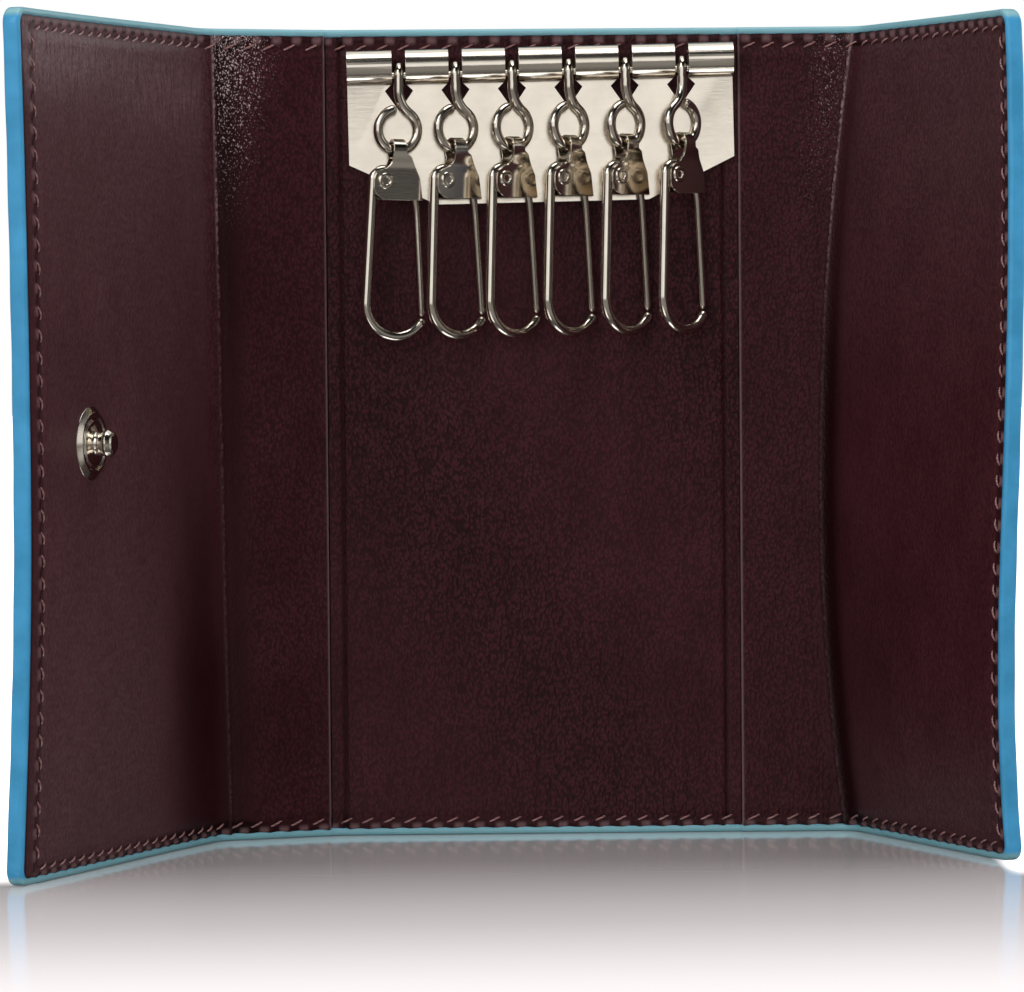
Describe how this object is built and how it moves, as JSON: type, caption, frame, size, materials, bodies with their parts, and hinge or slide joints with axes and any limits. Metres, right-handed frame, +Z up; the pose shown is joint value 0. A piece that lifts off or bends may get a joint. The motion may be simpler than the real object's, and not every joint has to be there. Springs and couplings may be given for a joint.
{
  "type": "leather key case",
  "caption": "Tri-fold leather key case, open, with a rolled metal key plate, spring-gate key hooks on swivel eyes, a snap fastener and painted edges.",
  "frame": {"origin": "middle of the back panel's lower edge, where the open case stands", "axes": "+X along the back panel towards the shorter flap, +Y out of the back, +Z up"},
  "size_m": [0.1259, 0.0615, 0.108],
  "materials": {
    "outer_leather": "satin, fine pebble grain",
    "lining_leather": "satin, fine pebble grain, stitched",
    "board": "matte bonded board",
    "edge_paint": "glossy edge paint",
    "snap_metal": "polished nickel",
    "plate_metal": "polished nickel",
    "hook_metal": "polished nickel"
  },
  "bodies": {
    "back": {"back_outer": "outer_leather", "back_board": "board", "back_lining": "lining_leather", "back_edge": "edge_paint", "key_plate": "plate_metal", "hook_pin": "plate_metal"},
    "left_spine": {"left_spine_outer": "outer_leather", "left_spine_lining": "lining_leather", "left_spine_edge": "edge_paint"},
    "left_flap": {"left_flap_outer": "outer_leather", "left_flap_board": "board", "left_flap_lining": "lining_leather", "left_flap_edge": "edge_paint", "snap_stud": "snap_metal", "stud_rivet": "snap_metal"},
    "right_spine": {"right_spine_outer": "outer_leather", "right_spine_lining": "lining_leather", "right_spine_edge": "edge_paint"},
    "right_flap": {"right_flap_outer": "outer_leather", "right_flap_board": "board", "right_flap_lining": "lining_leather", "right_flap_edge": "edge_paint", "snap_socket": "snap_metal", "socket_spring": "snap_metal", "socket_rivet": "snap_metal"},
    "eye_1": {"swivel_eye_1": "hook_metal"},
    "clip_1": {"clip_body_1": "hook_metal", "clip_rivet_1": "hook_metal", "hook_wire_1": "hook_metal"},
    "gate_1": {"gate_wire_1": "hook_metal"},
    "eye_2": {"swivel_eye_2": "hook_metal"},
    "clip_2": {"clip_body_2": "hook_metal", "clip_rivet_2": "hook_metal", "hook_wire_2": "hook_metal"},
    "gate_2": {"gate_wire_2": "hook_metal"},
    "eye_3": {"swivel_eye_3": "hook_metal"},
    "clip_3": {"clip_body_3": "hook_metal", "clip_rivet_3": "hook_metal", "hook_wire_3": "hook_metal"},
    "gate_3": {"gate_wire_3": "hook_metal"},
    "eye_4": {"swivel_eye_4": "hook_metal"},
    "clip_4": {"clip_body_4": "hook_metal", "clip_rivet_4": "hook_metal", "hook_wire_4": "hook_metal"},
    "gate_4": {"gate_wire_4": "hook_metal"},
    "eye_5": {"swivel_eye_5": "hook_metal"},
    "clip_5": {"clip_body_5": "hook_metal", "clip_rivet_5": "hook_metal", "hook_wire_5": "hook_metal"},
    "gate_5": {"gate_wire_5": "hook_metal"},
    "eye_6": {"swivel_eye_6": "hook_metal"},
    "clip_6": {"clip_body_6": "hook_metal", "clip_rivet_6": "hook_metal", "hook_wire_6": "hook_metal"},
    "gate_6": {"gate_wire_6": "hook_metal"}
  },
  "joints": [
    {"name": "left_spine_fold", "type": "hinge", "parent": "back", "child": "left_spine", "pos_m": [-0.0276, -0.0011, 0], "axis": [0, 0, 1], "range_deg": [-20, 70]},
    {"name": "left_flap_fold", "type": "hinge", "parent": "left_spine", "child": "left_flap", "pos_m": [-0.04376, -0.00698, 0], "axis": [0, 0, 1], "range_deg": [-49, 38.7]},
    {"name": "right_spine_fold", "type": "hinge", "parent": "back", "child": "right_spine", "pos_m": [0.0276, -0.0011, 0], "axis": [0, 0, -1], "range_deg": [-1, 89]},
    {"name": "right_flap_fold", "type": "hinge", "parent": "right_spine", "child": "right_flap", "pos_m": [0.0404, -0.00132, 0], "axis": [0, 0, -1], "range_deg": [-67, 23]},
    {"name": "eye_1_swing", "type": "hinge", "parent": "back", "child": "eye_1", "pos_m": [-0.01775, -0.0034, 0.10172], "axis": [0.9998, 0, 0.0175], "range_deg": [-100, 0]},
    {"name": "clip_1_swing", "type": "hinge", "parent": "eye_1", "child": "clip_1", "pos_m": [-0.01801, -0.00455, 0.09172], "axis": [1, 0, 0], "range_deg": [-20, 0]},
    {"name": "gate_1_open", "type": "hinge", "parent": "clip_1", "child": "gate_1", "pos_m": [-0.01609, -0.00389, 0.08707], "axis": [-0.3089, 0.9511, 0.0081], "range_deg": [0, 18], "stiffness_Nm_per_rad": 0.05},
    {"name": "eye_2_swing", "type": "hinge", "parent": "back", "child": "eye_2", "pos_m": [-0.0102, -0.0034, 0.10185], "axis": [0.9998, 0, 0.0175], "range_deg": [-100, 0]},
    {"name": "clip_2_swing", "type": "hinge", "parent": "eye_2", "child": "clip_2", "pos_m": [-0.0102, -0.00455, 0.09185], "axis": [1, 0, 0], "range_deg": [-20, 0]},
    {"name": "gate_2_open", "type": "hinge", "parent": "clip_2", "child": "gate_2", "pos_m": [-0.00834, -0.00347, 0.08725], "axis": [-0.5, 0.866, 0], "range_deg": [0, 18], "stiffness_Nm_per_rad": 0.05},
    {"name": "eye_3_swing", "type": "hinge", "parent": "back", "child": "eye_3", "pos_m": [-0.00265, -0.0034, 0.10198], "axis": [0.9998, 0, 0.0175], "range_deg": [-100, 0]},
    {"name": "clip_3_swing", "type": "hinge", "parent": "eye_3", "child": "clip_3", "pos_m": [-0.00265, -0.00455, 0.09198], "axis": [1, 0, 0], "range_deg": [-20, 0]},
    {"name": "gate_3_open", "type": "hinge", "parent": "clip_3", "child": "gate_3", "pos_m": [-0.00092, -0.00329, 0.08738], "axis": [-0.5878, 0.809, 0], "range_deg": [0, 18], "stiffness_Nm_per_rad": 0.05},
    {"name": "eye_4_swing", "type": "hinge", "parent": "back", "child": "eye_4", "pos_m": [0.0049, -0.0034, 0.10211], "axis": [0.9998, 0, 0.0175], "range_deg": [-100, 0]},
    {"name": "clip_4_swing", "type": "hinge", "parent": "eye_4", "child": "clip_4", "pos_m": [0.0049, -0.00455, 0.09211], "axis": [1, 0, 0], "range_deg": [-20, 0]},
    {"name": "gate_4_open", "type": "hinge", "parent": "clip_4", "child": "gate_4", "pos_m": [0.00656, -0.0032, 0.08751], "axis": [-0.6293, 0.7771, 0], "range_deg": [0, 18], "stiffness_Nm_per_rad": 0.05},
    {"name": "eye_5_swing", "type": "hinge", "parent": "back", "child": "eye_5", "pos_m": [0.01244, -0.0034, 0.10225], "axis": [0.9998, 0, 0.0175], "range_deg": [-100, 0]},
    {"name": "clip_5_swing", "type": "hinge", "parent": "eye_5", "child": "clip_5", "pos_m": [0.01244, -0.00455, 0.09224], "axis": [1, 0, 0], "range_deg": [-20, 0]},
    {"name": "gate_5_open", "type": "hinge", "parent": "clip_5", "child": "gate_5", "pos_m": [0.01407, -0.00314, 0.08765], "axis": [-0.6561, 0.7547, 0], "range_deg": [0, 18], "stiffness_Nm_per_rad": 0.05},
    {"name": "eye_6_swing", "type": "hinge", "parent": "back", "child": "eye_6", "pos_m": [0.01999, -0.0034, 0.10238], "axis": [0.9998, 0, 0.0175], "range_deg": [-100, 0]},
    {"name": "clip_6_swing", "type": "hinge", "parent": "eye_6", "child": "clip_6", "pos_m": [0.01999, -0.00455, 0.09238], "axis": [1, 0, 0], "range_deg": [-20, 0]},
    {"name": "gate_6_open", "type": "hinge", "parent": "clip_6", "child": "gate_6", "pos_m": [0.02154, -0.00306, 0.08778], "axis": [-0.6947, 0.7193, 0], "range_deg": [0, 18], "stiffness_Nm_per_rad": 0.05}
  ]
}
